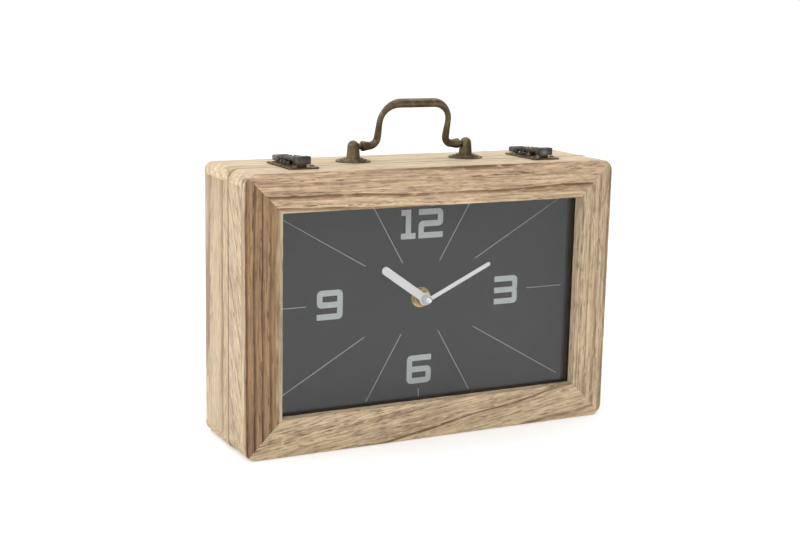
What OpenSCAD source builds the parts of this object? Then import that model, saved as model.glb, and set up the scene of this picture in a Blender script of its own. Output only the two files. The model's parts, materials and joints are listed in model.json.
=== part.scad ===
// Table clock in a suitcase-shaped wooden case: two shells hinged along the bottom, a mitred
// picture frame over the dial, two draw latches and a bail handle on top, quartz movement inside.
// Millimetres. Origin at the centre of the footprint, on the surface the case stands on.
// +X is to the right and +Y to the back as the dial is read; depths d run back from the front face.

/* [Case] */
// Width of the case
case_w = 240; // [232:1:260]
// Height of the case without the handle
case_h = 162; // [158:1:180]
// Depth of the closed case
case_d = 66; // [64:1:80]
// Depth of the seam between the two shells, from the front face
seam_d = 26.5; // [26.5:0.1:27]
// Thickness of the shell boards
board_t = 7; // [6.8:0.1:7.2]
// Corner radius of the front shell and of the picture frame
front_r = 7; // [5:0.5:9]
// Corner radius of the back shell
back_r = 5; // [3:0.5:9]
// Width of a picture frame rail
rail_w = 22.2; // [20:0.1:24]
// Thickness of a picture frame rail
rail_t = 6; // [5.6:0.1:6]
// Thickness of the back panel
panel_t = 4; // [3:0.5:5]
// How far the back panel sits inside the rear edge
panel_inset = 0.5; // [0:0.1:1]

/* [Dial] */
// Thickness of the glass
glass_t = 2; // [1.6:0.1:2]
// Depth of the dial face behind the front face
dial_d = 22.5; // [22.5:0.1:22.8]
// Thickness of the dial board
dial_t = 3; // [2.8:0.1:3]
// Depth at which the dark surround steps back from the glass opening
lip_d = 12.5; // [11:0.1:14]
// Height of a numeral
numeral_h = 17.6; // [14:0.2:19]
// Width of a single numeral
numeral_w = 16.4; // [13:0.2:18]
// Stroke width of the numerals
stroke = 3.5; // [2.4:0.1:3.6]
// Distance of the 3 and 9 from the centre
numeral_x = 59.5; // [55:0.5:66]
// Distance of the 12 and 6 from the centre
numeral_z = 44.6; // [42:0.2:46]
// Width of the thin hour lines
line_w = 0.3; // [0.3:0.05:1.2]
// Thickness of the numerals and hour lines
mark_t = 0.2; // [0.1:0.05:0.4]

/* [Hands] */
// Length of the hour hand from the centre
hour_len = 35; // [28:0.5:40]
// Width of the hour hand
hour_w = 5; // [3.5:0.1:5.6]
// Length of the minute hand from the centre
minute_len = 46.3; // [40:0.5:55]
// Width of the minute hand
minute_w = 2.5; // [2:0.1:3.5]
// Minutes past ten that the hands show
minutes_past = 10.8; // [5:0.1:20]

/* [Handle] */
// Distance between the two handle posts
handle_span = 75.6; // [70:0.2:84]
// Depth of the handle posts behind the front face
handle_d = 39; // [38.5:0.5:46]
// Height of the handle pivot above the case
pivot_rise = 8.9; // [8.4:0.1:9.4]
// Height of the grip's centre above the pivot
grip_rise = 26.4; // [22:0.1:32]
// Radius of the grip
grip_r = 2.7; // [2.2:0.1:3.4]
// Distance between the two upright limbs, centre to centre
limb_span = 45.8; // [44:0.2:47]
// How far the handle leans forward as drawn, in degrees
handle_lean = 15.8; // [0:0.2:30]
// Radius of the rosettes
rosette_r = 10.4; // [8.6:0.1:11.4]

/* [Latches] */
// Distance of each latch from the centre
latch_x = 80; // [72:0.5:92]
// Half width of the latch plates
latch_hw = 9.2; // [8.8:0.1:10.5]

/* [Hinges] */
// Distance of each hinge from the centre
hinge_x = 75; // [60:1:90]
// Half length of a hinge
hinge_hl = 12; // [11:0.5:16]
// Height of the hinge pin above the underside
hinge_z = 2.2; // [2.2:0.05:2.3]

/* [Movement] */
// Width and height of the movement housing
move_w = 56; // [56:0.5:58]
// Corner radius of the movement housing
move_r = 4; // [2:0.5:4]
// Radius of the battery
batt_r = 7.1; // [6.9:0.05:7.1]
// Radius of the setting knob
knob_r = 6; // [5:0.5:7]

/* [Hidden] */
$fn = 64;
yf = -case_d / 2;
zc = case_h / 2;
in_w = case_w - 2 * board_t;
in_h = case_h - 2 * board_t;
gap = 0.2;
open_w = case_w - 2 * rail_w;
open_h = case_h - 2 * rail_w;
move_d0 = dial_d + dial_t;
wall = 1.2;
move_d1 = move_d0 + wall;
cover_d = move_d0 + 16.8;
cover_end = cover_d + wall;
hand_turn = minutes_past * 6;
hour_turn = 300 + minutes_past / 2;
post_x = handle_span / 2;
limb_x = limb_span / 2;
shoulder_r = 12;
elbow_r = 5;
limb_r = 1.85;
elbow_tube = 2.1;
lp_d = seam_d + 4.5;
lb_d = seam_d + 9.5;
lp_z = 3.3;
lb_z = 3.9;
batt_z = -19.3;
batt_d = move_d1 + 7.8;
screw_x = 6.9;
hs_x = 7;

// Axes of the wheels, seen from the front, measured from the dial centre
ax_motion = [9.12 * cos(130), 9.12 * sin(130)];
ax_third = [8.58 * cos(30), 8.58 * sin(30)];
ax_second = ax_third + [8.0 * cos(60), 8.0 * sin(60)];
ax_reduce = ax_second + [6.68 * cos(150), 6.68 * sin(150)];
ax_rotor = ax_reduce + [6.37 * cos(170), 6.37 * sin(170)];

// Tooth phase that puts wheel 2 in mesh with wheel 1, for centres in direction b
function mesh(n1, p1, n2, b) = b + 180 + 180 / n2 - (p1 - b) * n1 / n2;
ph_motion = mesh(10, 0, 30, 130);
ph_hour = mesh(8, 0, 32, 310);
ph_third = mesh(60, 0, 8, 30);
ph_second = mesh(64, 0, 8, 60);
ph_reduce = mesh(50, 0, 10, 150);
ph_rotor = mesh(60, 0, 10, 170);

// ---------------------------------------------------------------- helpers

// An outline drawn in X and Z, carried back from depth d0 over a thickness h
module slab(d0, h) {
  translate([0, yf + d0 + h, 0])
    rotate([90, 0, 0])
      linear_extrude(height = h)
        children();
}

// An outline drawn in depth and Z, carried along X from x0 over a width w
module side(x0, w) {
  translate([x0, yf, 0])
    rotate([90, 0, 90])
      linear_extrude(height = w)
        children();
}

module rod_y(r, d0, h, x, z) {
  translate([x, yf + d0 + h, z])
    rotate([90, 0, 0])
      cylinder(r = r, h = h);
}

module rod_x(r, x0, w, d, z) {
  translate([x0, yf + d, z])
    rotate([0, 90, 0])
      cylinder(r = r, h = w);
}

module rod_z(r, x, d, z0, h) {
  translate([x, yf + d, z0])
    cylinder(r = r, h = h);
}

// Rectangle with round corners, standing on z = 0 and centred in X
module round_rect(w, h, r) {
  translate([-w / 2 + r, 0])
    square([w - 2 * r, h]);
  translate([-w / 2, r])
    square([w, h - 2 * r]);
  for (x = [-w / 2 + r, w / 2 - r], z = [r, h - r])
    translate([x, z])
      circle(r = r);
}

module centred_rect(w, h) {
  translate([-w / 2, zc - h / 2])
    square([w, h]);
}

// Toothed wheel outline
module teeth(n, m, phase) {
  rr = m * n / 2 - 1.1 * m;
  rt = m * n / 2 + 0.85 * m;
  p = 360 / n;
  polygon([for (i = [0:n - 1], k = [0:3])
    let (a = phase + i * p + [-0.31, -0.11, 0.11, 0.31][k] * p,
      r = (k == 1 || k == 2) ? rt : rr)
    [r * cos(a), r * sin(a)]]);
}

// Wheel of thickness h at depth d0 on an axis c measured from the dial centre
module wheel(n, m, phase, d0, h, c) {
  slab(d0, h)
    translate([c[0], zc + c[1]])
      teeth(n, m, phase);
}

module staff(r, d0, d1, c) {
  rod_y(r, d0, d1 - d0, c[0], zc + c[1]);
}

module wood(tone) {
  color([0.83 * tone, 0.70 * tone, 0.53 * tone])
    children();
}

module bronze() {
  color([0.32, 0.27, 0.20])
    children();
}

module brass() {
  color([0.80, 0.66, 0.35])
    children();
}

// ---------------------------------------------------------------- picture frame

module frame_outline() {
  difference() {
    round_rect(case_w, case_h, front_r);
    centred_rect(open_w, open_h);
  }
}

// Top or bottom mitred rail; s is 1 for the top
module rail_across(s) {
  slab(0, rail_t)
    intersection() {
      frame_outline();
      translate([0, zc])
        polygon([[-case_w / 2, s * zc], [case_w / 2, s * zc],
          [case_w / 2 - rail_w, s * (zc - rail_w)], [-case_w / 2 + rail_w, s * (zc - rail_w)]]);
    }
}

// Left or right mitred rail; s is 1 for the right
module rail_upright(s) {
  slab(0, rail_t)
    intersection() {
      frame_outline();
      polygon([[s * case_w / 2, 0], [s * case_w / 2, case_h],
        [s * (case_w / 2 - rail_w), case_h - rail_w], [s * (case_w / 2 - rail_w), rail_w]]);
    }
}

module frame_top() {
  wood(0.80)
    rail_across(1);
}

module frame_bottom() {
  wood(0.84)
    rail_across(-1);
}

module frame_left() {
  wood(0.78)
    rail_upright(-1);
}

module frame_right() {
  wood(0.86)
    rail_upright(1);
}

// ---------------------------------------------------------------- shells

module shell_outline(r) {
  difference() {
    round_rect(case_w, case_h, r);
    centred_rect(in_w, in_h);
  }
}

module board_across(r, d0, d1, z0) {
  slab(d0, d1 - d0)
    intersection() {
      shell_outline(r);
      translate([-case_w / 2, z0])
        square([case_w, board_t]);
    }
}

module board_upright(d0, d1, s) {
  slab(d0, d1 - d0)
    translate([s > 0 ? case_w / 2 - board_t : -case_w / 2, board_t])
      square([board_t, in_h]);
}

// V groove along the bottom of the seam, with the pockets for the hinges let in
module hinge_space() {
  side(-case_w / 2 - 1, case_w + 2)
    polygon([[seam_d - hinge_z - 1.6, -1], [seam_d, hinge_z + 0.6], [seam_d + hinge_z + 1.6, -1]]);
  for (s = [-1, 1]) {
    side(s * hinge_x - hinge_hl - 0.2, 2 * hinge_hl + 0.4) {
      translate([seam_d - 14.2, -1])
        square([28.4, 2.3]);
      translate([seam_d - 2.4, -1])
        square([4.8, hinge_z + 1]);
      translate([seam_d, hinge_z])
        circle(r = 2.25);
    }
    for (x = [-hs_x, hs_x], d = [-8.5, 8.5])
      rod_z(0.8, s * hinge_x + x, seam_d + d, 0, 5.3);
  }
}

module front_top() {
  wood(1.02)
    difference() {
      board_across(front_r, rail_t, seam_d, case_h - board_t);
      for (s = [-1, 1], x = [-screw_x, screw_x])
        rod_z(0.9, s * latch_x + x, seam_d - 8.5, case_h - 5, 6);
    }
}

module front_bottom() {
  wood(0.98)
    difference() {
      board_across(front_r, rail_t, seam_d, 0);
      hinge_space();
    }
}

module front_left() {
  wood(1.0)
    board_upright(rail_t, seam_d, -1);
}

module front_right() {
  wood(0.99)
    board_upright(rail_t, seam_d, 1);
}

module back_top() {
  wood(1.03)
    difference() {
      board_across(back_r, seam_d, case_d, case_h - board_t);
      for (s = [-1, 1]) {
        rod_z(2.1, s * post_x, handle_d, case_h - board_t - 1, board_t + 2);
        for (x = [-screw_x, screw_x])
          rod_z(0.9, s * latch_x + x, seam_d + 13.5, case_h - 5, 6);
      }
    }
}

module back_bottom() {
  wood(0.97)
    difference() {
      board_across(back_r, seam_d, case_d, 0);
      hinge_space();
    }
}

module back_left() {
  wood(1.01)
    board_upright(seam_d, case_d, -1);
}

module back_right() {
  wood(0.98)
    board_upright(seam_d, case_d, 1);
}

module back_panel() {
  wood(0.95)
    slab(case_d - panel_inset - panel_t, panel_t)
      centred_rect(in_w, in_h);
}

// ---------------------------------------------------------------- glass and dial

module glass_pane() {
  color([0.80, 0.86, 0.88, 0.35])
    slab(rail_t, glass_t)
      centred_rect(in_w - 2 * gap, in_h - 2 * gap);
}

dial_w = in_w - 2 * gap;
dial_h = in_h - 2 * gap;
lip_w = open_w + 9;
lip_h = open_h + 9;
ds_x = (dial_w + lip_w) / 4;
ds_z = (dial_h + lip_h) / 4;

module at_dial_screws() {
  for (x = [-ds_x, ds_x], z = [zc - ds_z, zc + ds_z])
    translate([x, 0, z])
      children();
}

module dial_surround() {
  color([0.05, 0.05, 0.055])
    difference() {
      slab(rail_t + glass_t, dial_d - rail_t - glass_t)
        centred_rect(dial_w, dial_h);
      slab(rail_t, lip_d - rail_t + 1)
        centred_rect(open_w, open_h);
      slab(lip_d, dial_d - lip_d + 1)
        centred_rect(lip_w, lip_h);
      at_dial_screws()
        rod_y(1.2, dial_d - 6, 7, 0, 0);
    }
}

module dial_board() {
  color([0.30, 0.30, 0.31])
    difference() {
      slab(dial_d, dial_t)
        centred_rect(dial_w, dial_h);
      rod_y(4.15, dial_d - 1, dial_t + 2, 0, zc);
      at_dial_screws()
        rod_y(1.2, dial_d - 1, dial_t + 2, 0, 0);
    }
}

// What is cut from the square corner at x, z to make it round; sx and sz point out of the corner
module round_corner(x, z, sx, sz, r) {
  translate([x - sx * r, z - sz * r])
    difference() {
      translate([sx > 0 ? 0 : -r - 1, sz > 0 ? 0 : -r - 1])
        square(r + 1);
      circle(r = r);
    }
}

// Numerals are drawn with their lower left corner at the origin
module bar(x, z, w, h) {
  translate([x, z])
    square([w, h]);
}

nw = numeral_w;
nh = numeral_h;
ns = stroke;
nm = (numeral_h - stroke) / 2;
nr = stroke * 0.85;

module numeral_one() {
  bar(0, 0, 9.6, ns);
  bar(3, 0, ns, nh);
  bar(0, nh - ns, 3 + ns, ns);
}

module numeral_two() {
  difference() {
    union() {
      bar(0, nh - ns, nw, ns);
      bar(nw - ns, nm, ns, nh - nm);
      bar(0, nm, nw, ns);
      bar(0, 0, ns, nm + ns);
      bar(0, 0, nw, ns);
    }
    round_corner(nw, nh, 1, 1, nr);
    round_corner(nw, nm, 1, -1, nr);
    round_corner(0, nm + ns, -1, 1, nr);
  }
}

module numeral_three() {
  difference() {
    union() {
      bar(0, nh - ns, nw, ns);
      bar(nw - ns, 0, ns, nh);
      bar(0, nm, nw, ns);
      bar(0, 0, nw, ns);
    }
    round_corner(nw, nh, 1, 1, nr);
    round_corner(nw, 0, 1, -1, nr);
    translate([nw, nh / 2])
      polygon([[-0.9, 0], [1, -1.9], [1, 1.9]]);
  }
}

module numeral_six() {
  difference() {
    union() {
      bar(0, nh - ns, nw, ns);
      bar(0, 0, ns, nh);
      bar(0, nm, nw, ns);
      bar(nw - ns, 0, ns, nm + ns);
      bar(0, 0, nw, ns);
    }
    round_corner(0, nh, -1, 1, nr);
    round_corner(0, 0, -1, -1, nr);
    round_corner(nw, nm + ns, 1, 1, nr);
    round_corner(nw, 0, 1, -1, nr);
  }
}

module numeral_nine() {
  translate([nw, nh])
    rotate(180)
      numeral_six();
}

module hour_line(a, r0, r1) {
  rotate(-a)
    translate([-line_w / 2, r0])
      square([line_w, r1 - r0]);
}

module dial_markings() {
  color([0.80, 0.82, 0.82])
    slab(dial_d - mark_t, mark_t)
      translate([0, zc]) {
        translate([-(nw + 11.6) / 2, numeral_z - nh / 2])
          numeral_one();
        translate([-(nw + 11.6) / 2 + 11.6, numeral_z - nh / 2])
          numeral_two();
        translate([numeral_x - nw / 2, -nh / 2])
          numeral_three();
        translate([-nw / 2, -numeral_z - nh / 2])
          numeral_six();
        translate([-numeral_x - nw / 2, -nh / 2])
          numeral_nine();
        for (a = [30, 150, 210, 330])
          hour_line(a, 25, 70.5);
        for (a = [60, 120, 240, 300])
          hour_line(a, 42.6, 115);
        for (a = [90, 270])
          hour_line(a, 74.5, 100);
        for (a = [0, 180])
          hour_line(a, 56.8, 62);
      }
}

module dial_screws() {
  color([0.62, 0.60, 0.55])
    at_dial_screws() {
      rod_y(1.2, dial_d - 5.5, dial_t + 5.5, 0, 0);
      rod_y(2.5, move_d0, 0.9, 0, 0);
    }
}

// ---------------------------------------------------------------- movement

module move_rect(w, r) {
  translate([0, zc - w / 2])
    round_rect(w, w, r);
}

// Pivot holes of the wheel staffs
module pivots(d0, h) {
  for (c = [ax_third, ax_second, ax_reduce, ax_rotor])
    rod_y(0.56, d0, h, c[0], zc + c[1]);
}

module movement_housing() {
  color([0.09, 0.09, 0.10]) {
    difference() {
      slab(move_d0, cover_d - move_d0)
        move_rect(move_w, move_r);
      slab(move_d1, 20)
        translate([0, zc - move_w / 2 + 1.5])
          round_rect(move_w - 3, move_w - 3, move_r - 1.5);
      rod_y(4, move_d0 - 1, 4, 0, zc);
      pivots(move_d0 - 1, 4);
      rod_y(0.56, move_d0 - 1, 4, ax_motion[0], zc + ax_motion[1]);
    }
    slab(move_d1 - 0.2, cover_d - move_d1 + 0.2)
      translate([-move_w / 2 + 1, zc - 11.4])
        square([move_w - 2, 1]);
    for (z = [-6, 7])
      rod_y(1.2, move_d1 - 0.2, 3.5, -24, zc + z);
    rod_y(1.5, move_d1 - 0.2, 12, -22.5, zc + ax_rotor[1]);
    rod_y(1.5, move_d1 - 0.2, 12, 0, zc + 23.7);
  }
}

module movement_cover() {
  color([0.13, 0.13, 0.14])
    difference() {
      slab(cover_d, wall)
        difference() {
          move_rect(move_w, move_r);
          translate([-25.8, zc + batt_z - 7.3])
            square([51.6, 14.6]);
        }
      pivots(cover_d - 1, 4);
      rod_y(0.86, cover_d - 1, 4, 0, zc);
      rod_y(0.86, cover_d - 1, 4, ax_motion[0], zc + ax_motion[1]);
    }
}

bush_d = dial_d - 3.9;

module centre_bush() {
  brass()
    difference() {
      rod_y(4, bush_d, move_d1 - bush_d, 0, zc);
      rod_y(2.6, bush_d - 1, move_d1 - bush_d + 2, 0, zc);
    }
}

module dial_washer() {
  brass()
    difference() {
      rod_y(6.2, dial_d - 0.5, 0.5, 0, zc);
      rod_y(4.05, dial_d - 1, 2, 0, zc);
    }
}

module dial_nut() {
  brass()
    difference() {
      translate([0, yf + dial_d - 0.5, zc])
        rotate([90, 30, 0])
          cylinder(r = 5.77, h = 2.2, $fn = 6);
      rod_y(4, dial_d - 4, 5, 0, zc);
    }
}

module hour_wheel() {
  color([0.86, 0.86, 0.82])
    difference() {
      union() {
        wheel(32, 0.45, ph_hour, move_d0 + 1.7, 1, [0, 0]);
        rod_y(2.52, dial_d - 7.9, move_d0 + 2.2 - dial_d + 7.9, 0, zc);
      }
      rod_y(1.6, dial_d - 9, 16, 0, zc);
    }
}

// Straight bar hand with a round tip, pointing up from the dial centre
module hand(len, w, hub, t, d0, bore, turn) {
  slab(d0, t)
    translate([0, zc])
      rotate(-turn)
        difference() {
          union() {
            translate([-w / 2, 0])
              square([w, len - w / 2]);
            translate([0, len - w / 2])
              circle(r = w / 2);
            circle(r = hub);
          }
          circle(r = bore);
        }
}

module hour_hand() {
  color([0.90, 0.90, 0.89])
    hand(hour_len, hour_w, 3.9, 0.6, dial_d - 6.4, 2.52, hour_turn);
}

md = dial_d - 10.1;

module minute_arbor() {
  color([0.78, 0.76, 0.70]) {
    rod_y(1.0, md - 1.2, 2.5, 0, zc);
    rod_y(1.52, md + 0.5, move_d0 + 4.5 - md - 0.5, 0, zc);
    wheel(10, 0.45, 0, move_d0 + 3.0, 1.5, [0, 0]);
    rod_y(1.9, move_d0 + 4.5, 0.9, 0, zc);
    rod_y(1.0, move_d0 + 5, 2.6, 0, zc);
    rod_y(0.8, move_d0 + 7, 10.6, 0, zc);
  }
}

module minute_hand() {
  color([0.91, 0.91, 0.90])
    hand(minute_len, minute_w, 2.7, 0.5, md, 1.0, hand_turn);
}

module hand_cap() {
  color([0.80, 0.80, 0.80])
    difference() {
      union() {
        rod_y(2.2, md - 1.2, 1.2, 0, zc);
        translate([0, yf + md - 1.2, zc])
          rotate([90, 0, 0])
            cylinder(r1 = 2.2, r2 = 1.4, h = 0.6);
      }
      rod_y(1.0, md - 1.2, 2, 0, zc);
    }
}

module motion_wheel() {
  color([0.88, 0.87, 0.82]) {
    staff(0.5, move_d0 + 0.3, move_d0 + 2, ax_motion);
    wheel(8, 0.45, 0, move_d0 + 1.6, 1.5, ax_motion);
    wheel(30, 0.45, ph_motion, move_d0 + 3.1, 1, ax_motion);
    staff(0.8, move_d0 + 4, cover_end + 2.5, ax_motion);
  }
}

module setting_knob() {
  color([0.16, 0.16, 0.17])
    difference() {
      union() {
        staff(knob_r, cover_end + 0.6, cover_end + 4.4, ax_motion);
        staff(2, cover_end + 0.3, cover_end + 1, ax_motion);
      }
      staff(0.8, cover_end, cover_end + 2.5, ax_motion);
    }
}

module centre_wheel() {
  brass()
    difference() {
      union() {
        wheel(60, 0.25, 0, move_d0 + 5.5, 0.8, [0, 0]);
        rod_y(2, move_d0 + 5.5, 1.5, 0, zc);
      }
      rod_y(1.06, move_d0 + 5, 3, 0, zc);
    }
}

module third_wheel() {
  color([0.90, 0.88, 0.80]) {
    staff(0.5, move_d0 + 0.3, cover_end - 0.3, ax_third);
    wheel(8, 0.25, ph_third, move_d0 + 5.1, 1.7, ax_third);
    staff(1.3, move_d0 + 6.8, move_d0 + 7.6, ax_third);
    wheel(64, 0.22, 0, move_d0 + 7.5, 0.7, ax_third);
  }
}

module second_wheel() {
  color([0.87, 0.88, 0.86]) {
    staff(0.5, move_d0 + 0.3, cover_end - 0.3, ax_second);
    wheel(8, 0.22, ph_second, move_d0 + 7.1, 1.6, ax_second);
    staff(1.2, move_d0 + 8.7, move_d0 + 9.4, ax_second);
    wheel(50, 0.22, 0, move_d0 + 9.3, 0.7, ax_second);
  }
}

module reduction_wheel() {
  color([0.92, 0.90, 0.86]) {
    staff(0.5, move_d0 + 0.3, cover_end - 0.3, ax_reduce);
    wheel(10, 0.22, ph_reduce, move_d0 + 8.9, 1.6, ax_reduce);
    staff(1.2, move_d0 + 10.5, move_d0 + 11.1, ax_reduce);
    wheel(60, 0.18, 0, move_d0 + 11, 0.6, ax_reduce);
  }
}

module rotor() {
  color([0.35, 0.34, 0.36]) {
    staff(0.5, move_d0 + 0.3, cover_end - 0.3, ax_rotor);
    wheel(10, 0.18, ph_rotor, move_d0 + 10.6, 1.5, ax_rotor);
    staff(3, move_d0 + 12.4, move_d0 + 14.4, ax_rotor);
  }
}

stator_d = move_d0 + 13;

module stator() {
  color([0.66, 0.67, 0.70])
    slab(stator_d, 1)
      difference() {
        translate([0, zc]) {
          translate([-24, ax_rotor[1] - 4.5])
            square([27.8, 9]);
          translate([-24, ax_rotor[1]])
            square([2.6, 25.4 - ax_rotor[1]]);
          translate([-1.4, ax_rotor[1]])
            square([2.8, 25.4 - ax_rotor[1]]);
        }
        translate([ax_rotor[0], zc + ax_rotor[1]])
          circle(r = 3.5);
      }
}

module coil() {
  color([0.72, 0.40, 0.20]) {
    rod_x(2.3, -20.6, 18.4, stator_d + 0.5, zc + 23.7);
    for (x = [-21.2, -2.2])
      rod_x(2.7, x, 0.6, stator_d + 0.5, zc + 23.7);
    slab(stator_d, 1)
      translate([-21.4, zc + 23.2])
        square([20, 1]);
  }
}

module circuit_board() {
  color([0.10, 0.32, 0.17])
    slab(move_d0 + 4.5, 1.2)
      translate([-26, zc - 8.5])
        square([11, 18]);
}

module quartz_crystal() {
  color([0.76, 0.77, 0.78])
    rod_z(1, -20, move_d0 + 6.7, zc - 5, 6);
}

module battery() {
  color([0.20, 0.22, 0.26]) {
    rod_x(batt_r, -25, 49.3, batt_d, zc + batt_z);
    rod_x(2.75, 24.3, 1, batt_d, zc + batt_z);
  }
}

module battery_contacts() {
  color([0.80, 0.80, 0.78]) {
    slab(batt_d - 5, 10)
      translate([26, zc + batt_z - 5])
        square([0.5, 10]);
    rod_x(2.4, 25.3, 0.8, batt_d, zc + batt_z);
    slab(batt_d - 5, 10)
      translate([-26.5, zc + batt_z - 5])
        square([0.5, 10]);
    translate([-26.1, yf + batt_d, zc + batt_z])
      rotate([0, 90, 0])
        cylinder(r1 = 4.5, r2 = 2.8, h = 1.1);
  }
}

// ---------------------------------------------------------------- handle

// Right-hand half of the bail without the grip, in its own upright plane, pivot line on the origin.
// The tube swells in steps round the shoulder; each wider length starts a little way back over the
// narrower one, and the grip runs on over the last, so that they make one casting.
module bail_half() {
  translate([post_x - 5.2, 0, 0])
    rotate([0, 90, 0])
      cylinder(r = 1.8, h = 5.4);
  translate([limb_x + elbow_r, 0, 0])
    rotate([0, 90, 0])
      cylinder(r1 = elbow_tube, r2 = 3, h = post_x - 5.1 - limb_x - elbow_r);
  translate([limb_x + elbow_r, 0, elbow_r])
    rotate([90, 0, 0])
      rotate([0, 0, 180])
        rotate_extrude(angle = 90)
          translate([elbow_r, 0])
            circle(r = elbow_tube);
  translate([limb_x, 0, elbow_r])
    cylinder(r1 = elbow_tube, r2 = limb_r, h = grip_rise - shoulder_r - elbow_r);
  translate([limb_x - shoulder_r, 0, grip_rise - shoulder_r])
    rotate([90, 0, 0])
      for (k = [0, 1, 2])
        rotate([0, 0, k == 0 ? 0 : 30 * k - 3])
          rotate_extrude(angle = k == 0 ? 30 : 33)
            translate([shoulder_r, 0])
              circle(r = limb_r + (grip_r - limb_r) * k * 0.32);
}

module handle_bail() {
  bronze()
    translate([0, yf + handle_d, case_h + pivot_rise])
      rotate([handle_lean, 0, 0]) {
        bail_half();
        mirror([1, 0, 0])
          bail_half();
        translate([shoulder_r - limb_x - 0.6, 0, grip_rise])
          rotate([0, 90, 0])
            cylinder(r = grip_r, h = 2 * (limb_x - shoulder_r + 0.6));
      }
}

module handle_posts() {
  bronze()
    for (s = [-1, 1])
      difference() {
        translate([s * post_x, yf + handle_d, case_h]) {
          translate([0, 0, 2.2])
            cylinder(r1 = 4.1, r2 = 3.5, h = pivot_rise - 2.2);
          translate([0, 0, pivot_rise])
            sphere(r = 3.5);
          translate([0, 0, -board_t - 3.8])
            cylinder(r = 2, h = board_t + 6.5);
        }
        rod_x(1.87, s > 0 ? post_x - 5 : -post_x - 0.5, 5.5, handle_d, case_h + pivot_rise);
      }
}

module handle_rosettes() {
  bronze()
    for (s = [-1, 1])
      difference() {
        translate([s * post_x, yf + handle_d, case_h]) {
          cylinder(r = rosette_r, h = 0.7);
          cylinder(r = rosette_r - 2.4, h = 1.5);
          cylinder(r = rosette_r - 4.4, h = 2.2);
        }
        rod_z(2.05, s * post_x, handle_d, case_h - 1, 4);
      }
}

module handle_nuts() {
  color([0.70, 0.68, 0.62])
    for (s = [-1, 1])
      difference() {
        translate([s * post_x, yf + handle_d, case_h - board_t - 3.2])
          cylinder(r = 4.04, h = 3.2, $fn = 6);
        rod_z(2, s * post_x, handle_d, case_h - board_t - 4, 5);
      }
}

// ---------------------------------------------------------------- latches

module plate_outline(d0, d1) {
  translate([yf + d0 + 1.5, 0])
    square([d1 - d0 - 3, 2 * latch_hw]);
  translate([yf + d0, 1.5])
    square([d1 - d0, 2 * latch_hw - 3]);
  for (x = [yf + d0 + 1.5, yf + d1 - 1.5], y = [1.5, 2 * latch_hw - 1.5])
    translate([x, y])
      circle(r = 1.5);
}

// Flat plate on the case top with two screw holes
module latch_plate(x0, d0, d1, ds) {
  difference() {
    translate([x0 + latch_hw, 0, case_h])
      rotate([0, 0, 90])
        linear_extrude(height = 1)
          plate_outline(d0, d1);
    for (x = [-screw_x, screw_x])
      rod_z(0.9, x0 + x, ds, case_h - 1, 3);
  }
}

module latch_bases() {
  bronze()
    for (s = [-1, 1]) {
      latch_plate(s * latch_x, seam_d + 0.7, seam_d + 21, seam_d + 13.5);
      for (x = [-2.7, 2])
        side(s * latch_x + x, 0.7)
          difference() {
            translate([lp_d, case_h + lp_z])
              union() {
                circle(r = 2.4);
                translate([-2.4, -lp_z + 0.8])
                  square([4.8, lp_z - 0.8]);
              }
            translate([lp_d, case_h + lp_z])
              circle(r = 0.8);
          }
    }
}

module latch_strikes() {
  bronze()
    for (s = [-1, 1]) {
      latch_plate(s * latch_x, seam_d - 14.5, seam_d - 0.7, seam_d - 8.5);
      side(s * latch_x - 3, 6)
        translate([seam_d, case_h])
          polygon([[-10.4, 0.8], [-9.2, 0.8], [-9.2, 5.4], [-11.4, 5.4], [-11.4, 4.6], [-10.4, 4.4]]);
    }
}

// Toggle lever: hub and tongue between the ears, then an open finger frame of two side flanges,
// a cross bar and a rounded rear bar, with the two trunnions that carry the loop
module latch_lever(x0) {
  bronze() {
    side(x0 - 1.85, 3.7)
      difference() {
        union() {
          translate([lp_d, case_h + lp_z])
            circle(r = 2.1);
          translate([lb_d, case_h + lb_z])
            circle(r = 1.8);
          translate([lp_d, case_h + 2.3])
            square([9.4, 2.2]);
        }
        translate([lp_d, case_h + lp_z])
          circle(r = 0.86);
      }
    side(x0 - 4.4, 8.8)
      translate([seam_d, case_h]) {
        polygon([[13, 2.3], [15, 2.2], [15, 4.7], [13.6, 4.6], [13, 4.1]]);
        translate([20.6, 1.4])
          square([1.6, 3.2]);
        translate([22.2, 3])
          circle(r = 1.6);
      }
    for (x = [-4.4, 3.5])
      side(x0 + x, 0.9)
        translate([seam_d, case_h])
          polygon([[13, 2.3], [14.6, 1.4], [20.8, 1.4], [20.8, 4.6], [15, 4.7], [13.6, 4.6], [13, 4.1]]);
    rod_x(0.7, x0 - 4.9, 9.8, lb_d, case_h + lb_z);
  }
}

module latch_lever_left() {
  latch_lever(-latch_x);
}

module latch_lever_right() {
  latch_lever(latch_x);
}

// Draw loop: two sloping side arms from the trunnions, joined over the strike's hook by a short
// roof and a front lip
module latch_loop(x0) {
  bronze() {
    for (x = [-4.4, 3.6])
      side(x0 + x, 0.8)
        difference() {
          union() {
            translate([lb_d, case_h + lb_z])
              circle(r = 1.7);
            translate([seam_d, case_h])
              polygon([[-12.9, 2.6], [-8.4, 2.6], [-6.8, 4.3], [4, 3.9], [7.6, 2.7], [9.5, 2.6],
                [9.5, 5.4], [-5.4, 6.4], [-8, 7], [-12.9, 7]]);
          }
          translate([lb_d, case_h + lb_z])
            circle(r = 0.76);
        }
    side(x0 - 3.7, 7.4)
      translate([seam_d, case_h]) {
        translate([-12.9, 6.1])
          square([4.9, 0.9]);
        translate([-12.9, 2.6])
          square([1, 4.4]);
      }
  }
}

module latch_loop_left() {
  latch_loop(-latch_x);
}

module latch_loop_right() {
  latch_loop(latch_x);
}

module latch_pins() {
  bronze()
    for (s = [-1, 1])
      rod_x(0.8, s * latch_x - 3.2, 6.4, lp_d, case_h + lp_z);
}

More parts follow.
